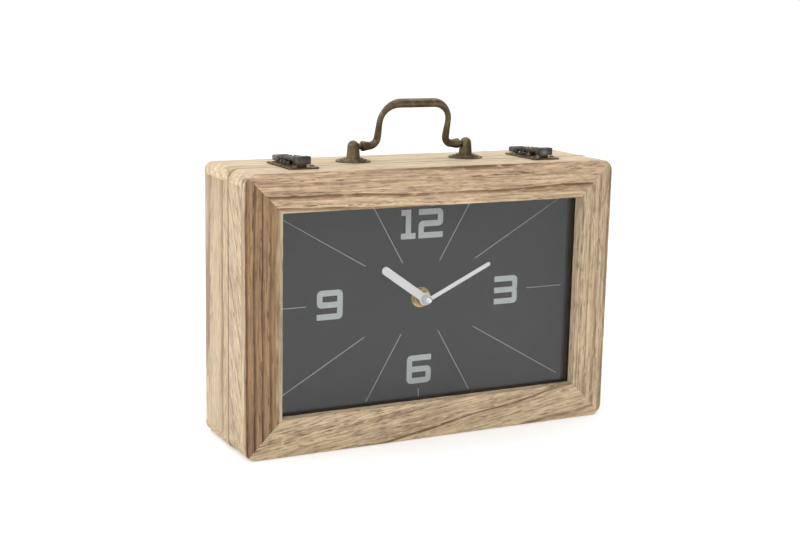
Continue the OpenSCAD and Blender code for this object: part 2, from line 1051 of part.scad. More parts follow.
module top_screws(d) {
  bronze()
    for (s = [-1, 1], x = [-screw_x, screw_x]) {
      rod_z(0.9, s * latch_x + x, d, case_h - 5, 6.2);
      translate([s * latch_x + x, yf + d, case_h + 1])
        cylinder(r1 = 1.7, r2 = 1.0, h = 0.8);
    }
}

module latch_screws_front() {
  top_screws(seam_d - 8.5);
}

module latch_screws_back() {
  top_screws(seam_d + 13.5);
}

// ---------------------------------------------------------------- hinges

module leaf_plate(x0, d0, d1, ds) {
  difference() {
    translate([x0 - hinge_hl, yf + d0, 0.3])
      cube([2 * hinge_hl, d1 - d0, 1]);
    for (x = [-hs_x, hs_x])
      translate([x0 + x, yf + ds, 0.3])
        cylinder(r1 = 1.7, r2 = 0.8, h = 1);
  }
}

// One knuckle with the strip that ties it to its leaf; s is -1 for the front leaf
module knuckle(x0, x1, s, bore) {
  side(x0, x1 - x0)
    difference() {
      union() {
        translate([seam_d, hinge_z])
          circle(r = 1.9);
        translate([s > 0 ? seam_d : seam_d - 2.5, 0.3])
          square([2.5, 1]);
      }
      translate([seam_d, hinge_z])
        circle(r = bore);
    }
}

module hinge_leaves_front() {
  brass()
    for (s = [-1, 1]) {
      leaf_plate(s * hinge_x, seam_d - 14, seam_d - 2.4, seam_d - 8.5);
      knuckle(s * hinge_x - 3.8, s * hinge_x + 3.8, -1, 0.87);
    }
}

module hinge_leaves_back() {
  brass()
    for (s = [-1, 1]) {
      leaf_plate(s * hinge_x, seam_d + 2.4, seam_d + 14, seam_d + 8.5);
      knuckle(s * hinge_x - hinge_hl, s * hinge_x - 4.1, 1, 0.8);
      knuckle(s * hinge_x + 4.1, s * hinge_x + hinge_hl, 1, 0.8);
    }
}

module hinge_pins() {
  brass()
    for (s = [-1, 1])
      rod_x(0.8, s * hinge_x - hinge_hl, 2 * hinge_hl, seam_d, hinge_z);
}

module under_screws(d) {
  brass()
    for (s = [-1, 1], x = [-hs_x, hs_x]) {
      translate([s * hinge_x + x, yf + d, 0.3])
        cylinder(r1 = 1.7, r2 = 0.8, h = 1);
      rod_z(0.8, s * hinge_x + x, d, 1.2, 4);
    }
}

module hinge_screws_front() {
  under_screws(seam_d - 8.5);
}

module hinge_screws_back() {
  under_screws(seam_d + 8.5);
}

// ---------------------------------------------------------------- the parts

frame_top();
frame_bottom();
frame_left();
frame_right();
front_top();
front_bottom();
front_left();
front_right();
back_top();
back_bottom();
back_left();
back_right();
back_panel();
glass_pane();
dial_surround();
dial_board();
dial_markings();
dial_screws();
movement_housing();
movement_cover();
centre_bush();
dial_washer();
dial_nut();
hour_wheel();
hour_hand();
minute_arbor();
minute_hand();
hand_cap();
motion_wheel();
setting_knob();
centre_wheel();
third_wheel();
second_wheel();
reduction_wheel();
rotor();
stator();
coil();
circuit_board();
quartz_crystal();
battery();
battery_contacts();
handle_bail();
handle_posts();
handle_rosettes();
handle_nuts();
latch_bases();
latch_strikes();
latch_lever_left();
latch_lever_right();
latch_loop_left();
latch_loop_right();
latch_pins();
latch_screws_front();
latch_screws_back();
hinge_leaves_front();
hinge_leaves_back();
hinge_pins();
hinge_screws_front();
hinge_screws_back();
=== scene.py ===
"""Looks for the suitcase-shaped table clock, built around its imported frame. Metres throughout."""

import json
import math

import bmesh
import bpy
from mathutils import Matrix, Vector


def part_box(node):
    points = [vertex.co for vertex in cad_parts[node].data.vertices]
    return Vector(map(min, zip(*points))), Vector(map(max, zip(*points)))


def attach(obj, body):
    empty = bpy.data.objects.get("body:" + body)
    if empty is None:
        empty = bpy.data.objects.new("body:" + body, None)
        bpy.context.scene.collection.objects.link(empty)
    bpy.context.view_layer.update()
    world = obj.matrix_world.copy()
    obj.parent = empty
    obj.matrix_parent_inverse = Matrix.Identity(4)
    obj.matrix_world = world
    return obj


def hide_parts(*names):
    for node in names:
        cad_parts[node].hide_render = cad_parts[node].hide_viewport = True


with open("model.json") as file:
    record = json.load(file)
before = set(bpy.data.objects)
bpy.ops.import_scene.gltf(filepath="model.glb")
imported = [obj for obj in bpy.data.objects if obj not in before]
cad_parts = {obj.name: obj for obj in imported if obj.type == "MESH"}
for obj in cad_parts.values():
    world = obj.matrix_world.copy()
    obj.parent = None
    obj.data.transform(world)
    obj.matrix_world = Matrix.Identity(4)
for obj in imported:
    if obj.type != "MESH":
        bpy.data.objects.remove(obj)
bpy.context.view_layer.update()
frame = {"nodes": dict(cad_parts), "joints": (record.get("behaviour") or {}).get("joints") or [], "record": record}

MM = 0.001
SCENE = bpy.context.scene
BODY_OF = {n: b for b, ns in frame["record"]["behaviour"]["bodies"].items() for n in ns}
SLOT_OF = {s["node"]: s["material_slot"] for s in frame["record"]["subparts"]}

# Case measures that the looks need, from the frame itself
CASE_LOW, CASE_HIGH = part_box("frame_top")[0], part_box("frame_top")[1]
CASE_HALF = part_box("frame_right")[1].x
CASE_TOP = CASE_HIGH.z
RAIL_BACK = CASE_HIGH.y
RAIL_W = CASE_TOP - CASE_LOW.z
DIAL_LOW, DIAL_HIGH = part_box("dial_board")
DIAL_CENTRE = (DIAL_LOW + DIAL_HIGH) / 2


# ---------------------------------------------------------------- material nodes

class Tree:
    """A material with short calls for its nodes."""

    def __init__(self, name):
        self.material = bpy.data.materials.new(name)
        self.material.use_nodes = True
        self.nodes = self.material.node_tree.nodes
        self.links = self.material.node_tree.links
        self.nodes.clear()
        self.position = self.add("TexCoord").outputs["Object"]

    def add(self, kind, settings=None, **values):
        node = self.nodes.new("ShaderNode" + kind)
        for key, value in (settings or {}).items():
            setattr(node, key, value)
        for key, value in values.items():
            self.put(node.inputs[key.replace("_", " ")], value)
        return node

    def put(self, socket, value):
        if isinstance(value, bpy.types.NodeSocket):
            self.links.new(value, socket)
        elif isinstance(value, (tuple, list)) and len(value) == 3 and socket.type == "RGBA":
            socket.default_value = (*value, 1)
        else:
            socket.default_value = value

    def math(self, operation, *values, clamp=False):
        node = self.add("Math", {"operation": operation, "use_clamp": clamp})
        for socket, value in zip(node.inputs, values):
            self.put(socket, value)
        return node.outputs[0]

    def moved(self, offset=(0, 0, 0), scale=(1, 1, 1), turn=(0, 0, 0), vector=None):
        node = self.add("Mapping", Location=offset, Rotation=turn, Scale=scale)
        self.put(node.inputs["Vector"], vector or self.position)
        return node.outputs[0]

    def noise(self, scale, vector=None, detail=3, rough=0.5):
        node = self.add("TexNoise", {"noise_dimensions": "3D"}, Scale=scale, Detail=detail,
                        Roughness=rough)
        self.put(node.inputs["Vector"], vector or self.position)
        return node.outputs["Fac"]

    def ramp(self, value, low, high, out_low=0.0, out_high=1.0, smooth=True):
        node = self.add("MapRange", {"interpolation_type": "SMOOTHSTEP" if smooth else "LINEAR"})
        for name, number in zip(("Value", "From Min", "From Max", "To Min", "To Max"),
                                (value, low, high, out_low, out_high)):
            self.put(node.inputs[name], number)
        return node.outputs[0]

    def blend(self, share, a, b):
        node = self.add("Mix", {"data_type": "RGBA", "blend_type": "MIX", "clamp_factor": True})
        self.put(node.inputs[0], share)
        self.put(node.inputs[6], a)
        self.put(node.inputs[7], b)
        return node.outputs[2]

    def bump(self, height, depth):
        return self.add("Bump", Distance=depth, Height=height).outputs[0]

    def principled(self, **values):
        return self.add("BsdfPrincipled", None, **values).outputs[0]

    def finish(self, shader):
        self.put(self.add("OutputMaterial").inputs["Surface"], shader)
        return self.material


def times(colour, factor):
    return tuple(min(1, factor * c) for c in colour)


def srgb(r, g, b):
    """A colour given on a 0 to 255 screen scale, as Blender's linear values."""
    return tuple(c / 12.92 if c <= 0.04045 else ((c + 0.055) / 1.055) ** 2.4
                 for c in (r / 255, g / 255, b / 255))


# ---------------------------------------------------------------- wood

PORE_SHARE = 0.8   # how much of a pore's darkness shows

# The seam's painted shade and dirt are on the outside only: how far the normal may point along Y before it fades,
# and is gone
OUTSIDE, MATING = 0.88, 0.98

# Turns the row frame so that the board's grain runs along its own X and its face looks along -Y
GRAIN_TURN = {"x": (0, 0, 0), "z": (0, math.pi / 2, 0)}


def wood(name, grain, seed, light, dark, heart=(0.0, 0.045), spacing=0.0040, latewood=0.75,
         slant=0.0, sapwood_and_side_light=None, face_z=0.0, seam=0.0, flecks=1.0, wobble=0.014,
         lean=0.0, late_from=0.50):
    """Solid ring-porous wood. heart is where the pith lies in the turned coordinates, in metres: across the
    grain, counted from face_z, and in depth. spacing is the width of a year ring. slant turns the grain in a
    front face, and lean in a top or side face. flecks is the strength of the short vessel marks. late_from is
    where in the year the latewood starts. seam is the half width of the line of painted shade and dirt where the
    shells meet."""
    t = Tree(name)
    along = t.moved(turn=GRAIN_TURN[grain])
    along = t.moved(offset=(seed * 0.37, 0, -face_z), turn=(0, slant, lean), vector=along)

    def grain_noise(scale, offset, turn=(0, 0, 0), **kw):
        """Noise in the board's own directions: scale is per metre, along the grain and across it."""
        return t.noise(1.0, t.moved(scale=scale, offset=offset, turn=turn, vector=along), **kw)

    warp = grain_noise((6, 26, 26), (seed * 1.7, seed, 0), detail=3, rough=0.55)
    sway = grain_noise((2.2, 5, 5), (0, seed * 2.3, seed), detail=1)
    split = t.add("SeparateXYZ", None, Vector=along).outputs
    across = t.math("SUBTRACT", split[2], heart[0])
    across = t.math("ADD", across, t.math("MULTIPLY", t.math("SUBTRACT", sway, 0.5), wobble))
    deep = t.math("SUBTRACT", split[1], heart[1])
    radius = t.math("SQRT", t.math("ADD", t.math("MULTIPLY", across, across), t.math("MULTIPLY", deep, deep)))
    rings = t.math("ADD", t.math("DIVIDE", radius, spacing), t.math("MULTIPLY", warp, 1.6))
    year = t.math("FRACT", rings)
    which = t.math("FLOOR", rings)
    by_year = t.add("CombineXYZ", None, X=t.math("MULTIPLY", which, 0.731), Y=seed).outputs[0]
    strength = t.noise(1.0, by_year, detail=0)
    late = t.math("MULTIPLY", t.ramp(year, late_from, 0.94), t.ramp(year, 0.95, 1.0, 1.0, 0.0))
    late = t.math("MULTIPLY", late, t.ramp(strength, 0.30, 0.64, 0.30, 1.0))
    fibre = grain_noise((34, 900, 900), (seed, 0, 0), detail=3, rough=0.65)
    streak = grain_noise((9, 190, 190), (0, seed, 0), detail=3, rough=0.6)
    mottled = grain_noise((14, 60, 60), (seed, seed, 0), detail=4, rough=0.6)
    fleck = grain_noise((120, 820, 820), (seed, 0, seed), turn=(0, 0.03, 0), detail=2, rough=0.6)
    dash = grain_noise((120, 1500, 1500), (0, 0, seed), detail=1)
    pore = t.math("MULTIPLY", t.ramp(dash, 0.60, 0.70), t.ramp(year, 0.0, 0.42, 1.0, 0.25))
    streaks = t.math("MULTIPLY", t.math("SUBTRACT", streak, 0.47), 1.15)
    tone = t.math("ADD", t.math("MULTIPLY", late, latewood), streaks)
    tone = t.math("ADD", tone, t.math("MULTIPLY", t.math("SUBTRACT", mottled, 0.5), 1.0), clamp=True)
    colour = t.blend(tone, light, dark)
    # Pale sapwood, and on the frame rails also a painted highlight on their sides
    if sapwood_and_side_light is not None:
        colour = t.blend(sapwood_and_side_light(t), colour, t.blend(t.math("MULTIPLY", tone, 0.5), PALE_SAPWOOD_AND_SIDE_LIGHT, dark))
    colour = t.blend(t.ramp(fibre, 0.34, 0.62, 0.50, 0.0, smooth=False), colour, times(dark, 0.62))
    colour = t.blend(t.ramp(fleck, 0.52, 0.70, 0.0, 0.50 * flecks), colour, times(dark, 0.60))
    colour = t.blend(t.ramp(fleck, 0.30, 0.44, 0.45 * flecks, 0.0), colour, times(light, 1.2))
    colour = t.blend(t.math("MULTIPLY", pore, PORE_SHARE), colour, times(dark, 0.42))
    # Painted shade and dirt: the wood is darkened along the seam where the shells meet, on the outer faces only
    if seam:
        depth = t.add("SeparateXYZ", None, Vector=t.position).outputs[1]
        away = t.math("ABSOLUTE", t.math("SUBTRACT", depth, SEAM_Y))
        away = t.math("ADD", away, t.math("MULTIPLY", t.math("SUBTRACT", mottled, 0.5), 0.0005))
        facing = t.add("SeparateXYZ", None, Vector=t.add("TexCoord").outputs["Normal"]).outputs[1]
        outer = t.ramp(t.math("ABSOLUTE", facing), OUTSIDE, MATING, 1.0, 0.0)
        seam_shade_and_dirt = t.math("MULTIPLY", t.ramp(away, 0.25 * seam, seam, 0.85, 0.0), outer)
        colour = t.blend(seam_shade_and_dirt, colour, times(dark, 0.30))
    height = t.math("SUBTRACT", t.math("MULTIPLY", fibre, 0.5), t.math("MULTIPLY", pore, 0.9))
    height = t.math("ADD", height, t.math("MULTIPLY", late, 0.25))
    rough = t.math("ADD", t.ramp(fibre, 0.2, 0.8, 0.66, 0.50, smooth=False), t.math("MULTIPLY", pore, 0.25))
    return t.finish(t.principled(Base_Color=colour, Roughness=rough, Specular_IOR_Level=0.35,
                                 Coat_Weight=0.06, Coat_Roughness=0.35, Normal=t.bump(height, 0.00016)))


def sapwood_and_painted_side_light(axis, sign, inner=0.75):
    """A painted highlight on the outer side of a frame rail, and pale sapwood over the last millimetres beside the
    opening.
    """
    def share(t):
        split = t.add("SeparateXYZ", None, Vector=t.position).outputs
        centre = DIAL_CENTRE.z if axis == 2 else 0.0
        reach = (CASE_TOP / 2 if axis == 2 else CASE_HALF) - RAIL_W
        from_centre = t.math("MULTIPLY", t.math("SUBTRACT", split[axis], centre), sign)
        edge = t.noise(1.0, t.moved(scale=(40, 40, 40)), detail=2)
        inside = t.math("SUBTRACT", from_centre, reach)
        inside = t.math("ADD", inside, t.math("MULTIPLY", t.math("SUBTRACT", edge, 0.5), 0.006))
        # Painted highlight: the rail's faces more than about a millimetre behind its front face are made paler, as
        # if lit
        outside = t.math("ADD", split[1], t.math("MULTIPLY", t.math("SUBTRACT", edge, 0.5), 0.002))
        return t.math("MAXIMUM", t.ramp(inside, 0.0016, 0.0040, inner, 0.0),
                      t.ramp(outside, CASE_LOW.y + 0.0003, CASE_LOW.y + 0.0016, 0.0, 0.9))
    return share


SEAM_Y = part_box("front_top")[1].y
# Pale tone for sapwood, also used for the painted highlight on the frame rails' sides
PALE_SAPWOOD_AND_SIDE_LIGHT = srgb(216, 196, 164)
CREAM, CREAM_DARK = srgb(201, 180, 147), srgb(132, 103, 70)
PALE, PALE_DARK = srgb(224, 203, 169), srgb(152, 120, 84)
TAN, TAN_DARK = srgb(216, 187, 153), srgb(113, 81, 52)

# Finishes of single nodes; every other node takes the finish of its material slot
NODE_FINISH = {
    "frame_top": wood("wood_frame_top", "x", 1.3, TAN, TAN_DARK, heart=(-0.05, 0.0), spacing=0.0054,
                      face_z=CASE_TOP, latewood=1.0, wobble=0.006, sapwood_and_side_light=sapwood_and_painted_side_light(2, 1, 0.3)),
    "frame_bottom": wood("wood_frame_bottom", "x", 4.1, srgb(208, 185, 151), TAN_DARK, heart=(-0.112, 0.0),
                         spacing=0.0150, slant=0.14, latewood=1.0, face_z=0.0, flecks=1.3, wobble=0.006,
                         late_from=0.84, sapwood_and_side_light=sapwood_and_painted_side_light(2, -1, 0.3)),
    "frame_left": wood("wood_frame_left", "z", 2.2, srgb(164, 131, 94), srgb(66, 43, 25), heart=(-0.05, 0.0),
                       spacing=0.0046, face_z=-CASE_HALF, latewood=1.1, wobble=0.005, flecks=0.6,
                       sapwood_and_side_light=sapwood_and_painted_side_light(0, -1)),
    "frame_right": wood("wood_frame_right", "z", 3.6, srgb(210, 187, 153), srgb(117, 87, 59),
                        heart=(-0.045, 0.006), spacing=0.0060, face_z=CASE_HALF, latewood=0.7,
                        sapwood_and_side_light=sapwood_and_painted_side_light(0, 1, 0.4)),
    "front_top": wood("wood_front_top", "x", 5.2, PALE, PALE_DARK, heart=(0.02, 0.05), spacing=0.0060,
                      latewood=0.45, face_z=CASE_TOP, seam=0.0013, flecks=0.7),
    "front_bottom": wood("wood_front_bottom", "x", 6.4, CREAM, CREAM_DARK, heart=(0.03, 0.04),
                         latewood=0.5, seam=0.0009),
    "front_left": wood("wood_front_left", "z", 7.7, CREAM, CREAM_DARK, heart=(0.0, 0.11), spacing=0.0085,
                       latewood=0.8, lean=-0.42, late_from=0.72, face_z=-CASE_HALF, seam=0.0009, flecks=1.6),
    "front_right": wood("wood_front_right", "z", 8.9, CREAM, CREAM_DARK, heart=(-0.03, 0.03), latewood=0.5,
                        face_z=CASE_HALF, seam=0.0009),
    "back_top": wood("wood_back_top", "x", 9.5, PALE, PALE_DARK, heart=(0.03, -0.01), spacing=0.0055,
                     latewood=0.5, face_z=CASE_TOP, seam=0.0013, flecks=0.7),
    "back_bottom": wood("wood_back_bottom", "x", 10.3, CREAM, CREAM_DARK, heart=(0.03, 0.01),
                        latewood=0.5, seam=0.0009),
    "back_left": wood("wood_back_left", "z", 11.8, CREAM, CREAM_DARK, heart=(0.0, 0.08), spacing=0.0068,
                      latewood=0.7, face_z=-CASE_HALF, seam=0.0009, flecks=0.7, wobble=0.005),
    "back_right": wood("wood_back_right", "z", 12.1, CREAM, CREAM_DARK, heart=(0.0, 0.09), latewood=0.5,
                       spacing=0.0065, face_z=CASE_HALF, seam=0.0009),
    "back_panel": wood("wood_back_panel", "x", 13.6, srgb(218, 192, 156), srgb(158, 122, 86),
                       heart=(0.03, 0.16), spacing=0.0050, latewood=0.5, face_z=0.081),
}


# ---------------------------------------------------------------- metal, plastic, glass

def metal(name, base, bright, rough=0.38, grime=0.6, scale=90.0, depth=0.00004):
    """Cast or plated metal: tone changes in broad clouds, rubbed bright patches and small pits."""
    t = Tree(name)
    cloud = t.noise(scale, detail=4, rough=0.6)
    rub = t.noise(scale * 3.1, t.moved(offset=(1.3, 2.1, 0.7)), detail=3, rough=0.55)
    speck = t.noise(scale * 14, detail=2)
    rubbed = t.math("MULTIPLY", t.ramp(cloud, 0.38, 0.72), t.ramp(rub, 0.3, 0.7, 0.45, 1.0))
    colour = t.blend(rubbed, base, bright)
    colour = t.blend(t.ramp(speck, 0.52, 0.74, 0.0, grime), colour, times(base, 0.45))
    roughness = t.math("ADD", t.ramp(cloud, 0.3, 0.7, rough + 0.10, rough - 0.06),
                       t.math("MULTIPLY", speck, 0.08))
    return t.finish(t.principled(Base_Color=colour, Metallic=1.0, Roughness=roughness,
                                 Normal=t.bump(speck, depth)))


def plastic(name, colour, rough=0.42, texture=2600.0, depth=0.00003, tint=0.12):
    """Moulded plastic with a fine spark texture."""
    t = Tree(name)
    broad = t.noise(45, detail=2)
    fine = t.noise(texture, detail=2)
    shade = t.blend(t.ramp(broad, 0.3, 0.7, 0.0, tint), colour, times(colour, 0.7))
    roughness = t.ramp(fine, 0.3, 0.7, rough - 0.05, rough + 0.08)
    return t.finish(t.principled(Base_Color=shade, Roughness=roughness, Specular_IOR_Level=0.45,
                                 Normal=t.bump(fine, depth)))


def dial_paint(name, colour):
    """Satin printed face: a faint tooth and very slight unevenness."""
    t = Tree(name)
    tooth = t.noise(1900, detail=3)
    cloud = t.noise(11, detail=2)
    shade = t.blend(t.ramp(cloud, 0.3, 0.7, 0.0, 0.35), colour, times(colour, 0.86))
    shade = t.blend(t.ramp(tooth, 0.4, 0.7, 0.0, 0.05), shade, times(colour, 1.15))
    return t.finish(t.principled(Base_Color=shade, Roughness=0.6, Specular_IOR_Level=0.15,
                                 Normal=t.bump(tooth, 0.0000012)))


def clear_glass():
    """Float glass that lets the lamps reach the dial."""
    t = Tree("glass_clear")
    smear = t.noise(22, detail=2)
    tint = t.blend(smear, (0.965, 0.975, 0.972), (0.985, 0.992, 0.99))
    glass = t.principled(Base_Color=tint, Transmission_Weight=1.0, IOR=1.43, Roughness=0.0)
    mix = t.add("MixShader")
    t.put(mix.inputs[0], t.add("LightPath").outputs["Is Shadow Ray"])
    t.put(mix.inputs[1], glass)
    t.put(mix.inputs[2], t.add("BsdfTransparent", None, Color=(0.96, 0.98, 0.975)).outputs[0])
    return t.finish(mix.outputs[0])


def enamel_wire():
    """Copper winding: fine turns around the coil's long axis."""
    t = Tree("coil_wire")
    wave = t.add("TexWave", {"wave_type": "BANDS", "bands_direction": "X"}, Scale=900.0, Distortion=0.4)
    t.put(wave.inputs["Vector"], t.position)
    colour = t.blend(wave.outputs["Fac"], srgb(120, 58, 26), srgb(205, 120, 68))
    return t.finish(t.principled(Base_Color=colour, Metallic=0.85, Roughness=0.32,
                                 Normal=t.bump(wave.outputs["Fac"], 0.00008)))


def board_mask():
    """Green solder mask with pale copper tracks."""
    t = Tree("circuit_mask")
    cells = t.add("TexVoronoi", {"feature": "DISTANCE_TO_EDGE"}, Scale=420.0)
    t.put(cells.inputs["Vector"], t.position)
    track = t.ramp(cells.outputs["Distance"], 0.05, 0.09, 1.0, 0.0)
    colour = t.blend(track, srgb(22, 84, 44), srgb(86, 140, 84))
    return t.finish(t.principled(Base_Color=colour, Roughness=0.35, Normal=t.bump(track, 0.00004)))


BAND_WIDTH = 13 * MM   # of the battery's pale band, with its cap
CAP_PLUS, CAP_MINUS = 1.6 * MM, 0.6 * MM   # bare steel at the ends


def battery_sleeve():
    """Printed sleeve in two plain tones, with a pale band at the positive end and bare steel caps."""
    t = Tree("battery_sleeve")
    x = t.add("SeparateXYZ", None, Vector=t.position).outputs[0]
    low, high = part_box("battery")
    band = t.math("GREATER_THAN", x, high.x - BAND_WIDTH)
    steel = t.math("MAXIMUM", t.math("GREATER_THAN", x, high.x - CAP_PLUS),
                   t.math("LESS_THAN", x, low.x + CAP_MINUS))
    scuff = t.noise(300, detail=3)
    colour = t.blend(band, srgb(40, 46, 54), srgb(176, 128, 64))
    colour = t.blend(t.ramp(scuff, 0.55, 0.75, 0.0, 0.25), colour, srgb(90, 92, 96))
    colour = t.blend(steel, colour, srgb(190, 188, 182))
    return t.finish(t.principled(Base_Color=colour, Metallic=t.math("MAXIMUM", steel, 0.35), Roughness=0.34,
                                 Normal=t.bump(scuff, 0.00002)))


BRONZE = metal("bronze_antique", srgb(92, 80, 62), srgb(138, 122, 98), rough=0.40, grime=0.55)
GUNMETAL = metal("bronze_dark", srgb(84, 81, 78), srgb(150, 148, 146), rough=0.30, grime=0.45)
BRASS = metal("brass_turned", srgb(190, 160, 96), srgb(226, 200, 136), rough=0.30, grime=0.25)
STEEL = metal("steel_plated", srgb(168, 166, 160), srgb(206, 204, 198), rough=0.30, grime=0.25)
FINISHES = {
    "glass": clear_glass(),
    "black_board": plastic("surround_black", srgb(24, 23, 23), rough=0.75, depth=0.00005),
    "dial_grey": dial_paint("dial_grey", srgb(24, 23, 26)),
    "dial_white": dial_paint("dial_print", srgb(196, 201, 201)),
    "steel": STEEL,
    "black_plastic": plastic("plastic_black", srgb(36, 36, 38)),
    "brass": BRASS,
    "white_plastic": plastic("plastic_white", srgb(224, 222, 212), rough=0.34),
    "hand_white": plastic("hand_lacquer", srgb(244, 243, 242), rough=0.36, tint=0.05),
    "chrome": metal("cap_chrome", srgb(200, 200, 200), srgb(232, 232, 232), rough=0.16, grime=0.1),
    "dark_plastic": plastic("plastic_magnet", srgb(66, 66, 70), rough=0.5),
    "copper": enamel_wire(),
    "green_board": board_mask(),
    "battery_shell": battery_sleeve(),
    "bronze": BRONZE,
}
LATCH_PLATE = metal("bronze_plate", srgb(96, 80, 66), srgb(150, 134, 112), rough=0.36, grime=0.5)
for name in ("latch_lever_left", "latch_lever_right", "latch_loop_left", "latch_loop_right", "latch_pins"):
    NODE_FINISH[name] = GUNMETAL
for name in ("latch_bases", "latch_strikes", "latch_screws_front", "latch_screws_back"):
    NODE_FINISH[name] = LATCH_PLATE


def finish_of(node):
    return NODE_FINISH.get(node) or FINISHES[SLOT_OF[node]]


def paint(obj, material):
    obj.data.materials.clear()
    obj.data.materials.append(material)


for node, obj in frame["nodes"].items():
    paint(obj, finish_of(node))


# ---------------------------------------------------------------- eased copies of sharp-edged nodes

def solid_copy(node):
    """The node's shape as a new mesh with its flat faces joined up again."""
    bm = bmesh.new()
    bm.from_mesh(frame["nodes"][node].data)
    bmesh.ops.remove_doubles(bm, verts=bm.verts, dist=1e-6)
    bmesh.ops.dissolve_limit(bm, angle_limit=math.radians(0.5), verts=bm.verts, edges=bm.edges,
                             delimit={"NORMAL"})
    return bm


def as_piece(bm, name, node, smooth_angle=32):
    """The finished mesh as a piece that stands for node and rides on its body."""
    mesh = bpy.data.meshes.new(name)
    bmesh.ops.recalc_face_normals(bm, faces=bm.faces)
    bm.to_mesh(mesh)
    bm.free()
    for layer in ("custom_normal", "sharp_edge", "sharp_face"):
        if layer in mesh.attributes:
            mesh.attributes.remove(mesh.attributes[layer])
    obj = bpy.data.objects.new(name, mesh)
    SCENE.collection.objects.link(obj)
    mesh.shade_smooth()
    mesh.set_sharp_from_angle(angle=math.radians(smooth_angle))
    paint(obj, finish_of(node))
    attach(obj, BODY_OF[node])
    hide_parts(node)
    return obj


def ease(bm, width, segments=2, skip=None, least=40):
    """Rounds the sharp edges over, apart from those that skip(a, b) names."""
    sharp = [e for e in bm.edges if len(e.link_faces) == 2 and e.calc_face_angle(0) > math.radians(least)
             and not (skip and skip(e.verts[0].co, e.verts[1].co))]
    bmesh.ops.bevel(bm, geom=sharp, offset=width, segments=segments, profile=0.5, affect="EDGES",
                    clamp_overlap=True, offset_type="OFFSET")


def eased(node, width, segments=2, skip=None, least=40):
    bm = solid_copy(node)
    ease(bm, width, segments, skip, least)
    return as_piece(bm, node + "_eased", node)


def near(value, target, slack=2e-5):
    return abs(value - target) < slack


def on_mitre(p):
    """True on the 45 degree planes through the picture frame's corners."""
    return near(CASE_HALF - abs(p.x), min(p.z, CASE_TOP - p.z), 5e-5)


def mitre_edge(a, b):
    """Edges of the cut faces stay tight, and so do those against the shell behind."""
    return (on_mitre(a) and on_mitre(b)) or (near(a.y, RAIL_BACK) and near(b.y, RAIL_BACK))


def board_edge(node):
    """Edges that lie against a neighbouring board or rail, on the joint planes of the shells."""
    low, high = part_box(node)
    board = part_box("front_top")[1].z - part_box("front_top")[0].z
    inner_x = CASE_HALF - board
    planes_z = (board, CASE_TOP - board)
    upright = node.endswith(("left", "right"))

    def skip(a, b):
        if near(a.y, RAIL_BACK) and near(b.y, RAIL_BACK):
            return True
        if upright:
            return any(near(a.z, z) and near(b.z, z) for z in planes_z)
        on_end = any(near(a.z, z) and near(b.z, z) for z in planes_z)
        return on_end and min(abs(a.x), abs(b.x)) > inner_x - 1e-4
    return skip


for node in ("frame_top", "frame_bottom", "frame_left", "frame_right"):
    eased(node, 0.9 * MM, 3, skip=mitre_edge, least=60)
for node in ("front_top", "front_left", "front_right", "back_top", "back_left", "back_right"):
    eased(node, 0.6 * MM, 2, skip=board_edge(node), least=60)
for node in ("latch_bases", "latch_strikes", "latch_lever_left", "latch_lever_right", "latch_loop_left",
             "latch_loop_right"):
    eased(node, 0.16 * MM, 2, least=50)
eased("handle_rosettes", 0.18 * MM, 2, least=50)
eased("setting_knob", 0.4 * MM, 2, least=50)
eased("dial_nut", 0.2 * MM, 1, least=50)
eased("hour_hand", 0.12 * MM, 1, least=50)
eased("minute_hand", 0.12 * MM, 1, least=50)


# ---------------------------------------------------------------- handle

# Millimetres, and degrees for the lean. grip, limb, elbow_tube, arm and pin are radii of the tube, shoulder
# and elbow the radii of its bends, and the rest are lengths along its centre line.
BAIL = {"span": 75.6, "limbs": 45.8, "rise": 26.4, "shoulder": 12.0, "elbow": 5.0, "grip": 2.7, "limb": 1.8,
        "elbow_tube": 2.15, "arm": 2.35, "knob_to_pin_end": 5.1, "pin": 1.75, "lean": 15.8}
# Swelling of the arm: share of the way from the elbow to the knob, and radius there
ARM_SWELL = ((0.25, 2.6), (0.5, 2.85), (0.75, 2.98), (0.9, 3.0), (0.97, 2.85), (1.0, 2.5))


def glide(a, b, share):
    share = min(max(share, 0.0), 1.0)
    return a + (b - a) * share * share * (3 - 2 * share)


def bail_line():
    """Points (x, z, radius) in the bail's plane, in millimetres, from mid-grip to the end of the pin."""
    b = BAIL
    limb_x, pin_x = b["limbs"] / 2, b["span"] / 2
    knob_x, elbow_x, straight = pin_x - b["knob_to_pin_end"], limb_x + b["elbow"], limb_x - b["shoulder"]
    top, bottom = b["rise"] - b["shoulder"], b["elbow"]
    line = [(straight * k / 6, b["rise"], b["grip"]) for k in range(6)]
    for k in range(19):
        a = math.radians(90 - 5 * k)
        line.append((straight + b["shoulder"] * math.cos(a), top + b["shoulder"] * math.sin(a),
                     glide(b["grip"], b["limb"], k / 13)))
    line += [(limb_x, top + (bottom - top) * k / 6, glide(b["limb"], b["elbow_tube"], k / 6))
             for k in range(1, 6)]
    for k in range(13):
        a = math.radians(180 + 7.5 * k)
        line.append((elbow_x + b["elbow"] * math.cos(a), b["elbow"] + b["elbow"] * math.sin(a),
                     glide(b["elbow_tube"], b["arm"], k / 12)))
    line += [(elbow_x + (knob_x - elbow_x) * u, 0, r) for u, r in ARM_SWELL]
    line += [(knob_x + 0.01, 0, 2.1), (knob_x + 0.03, 0, b["pin"]), (pin_x + 0.1, 0, b["pin"]),
             (pin_x + 0.2, 0, b["pin"] - 0.1)]
    return line


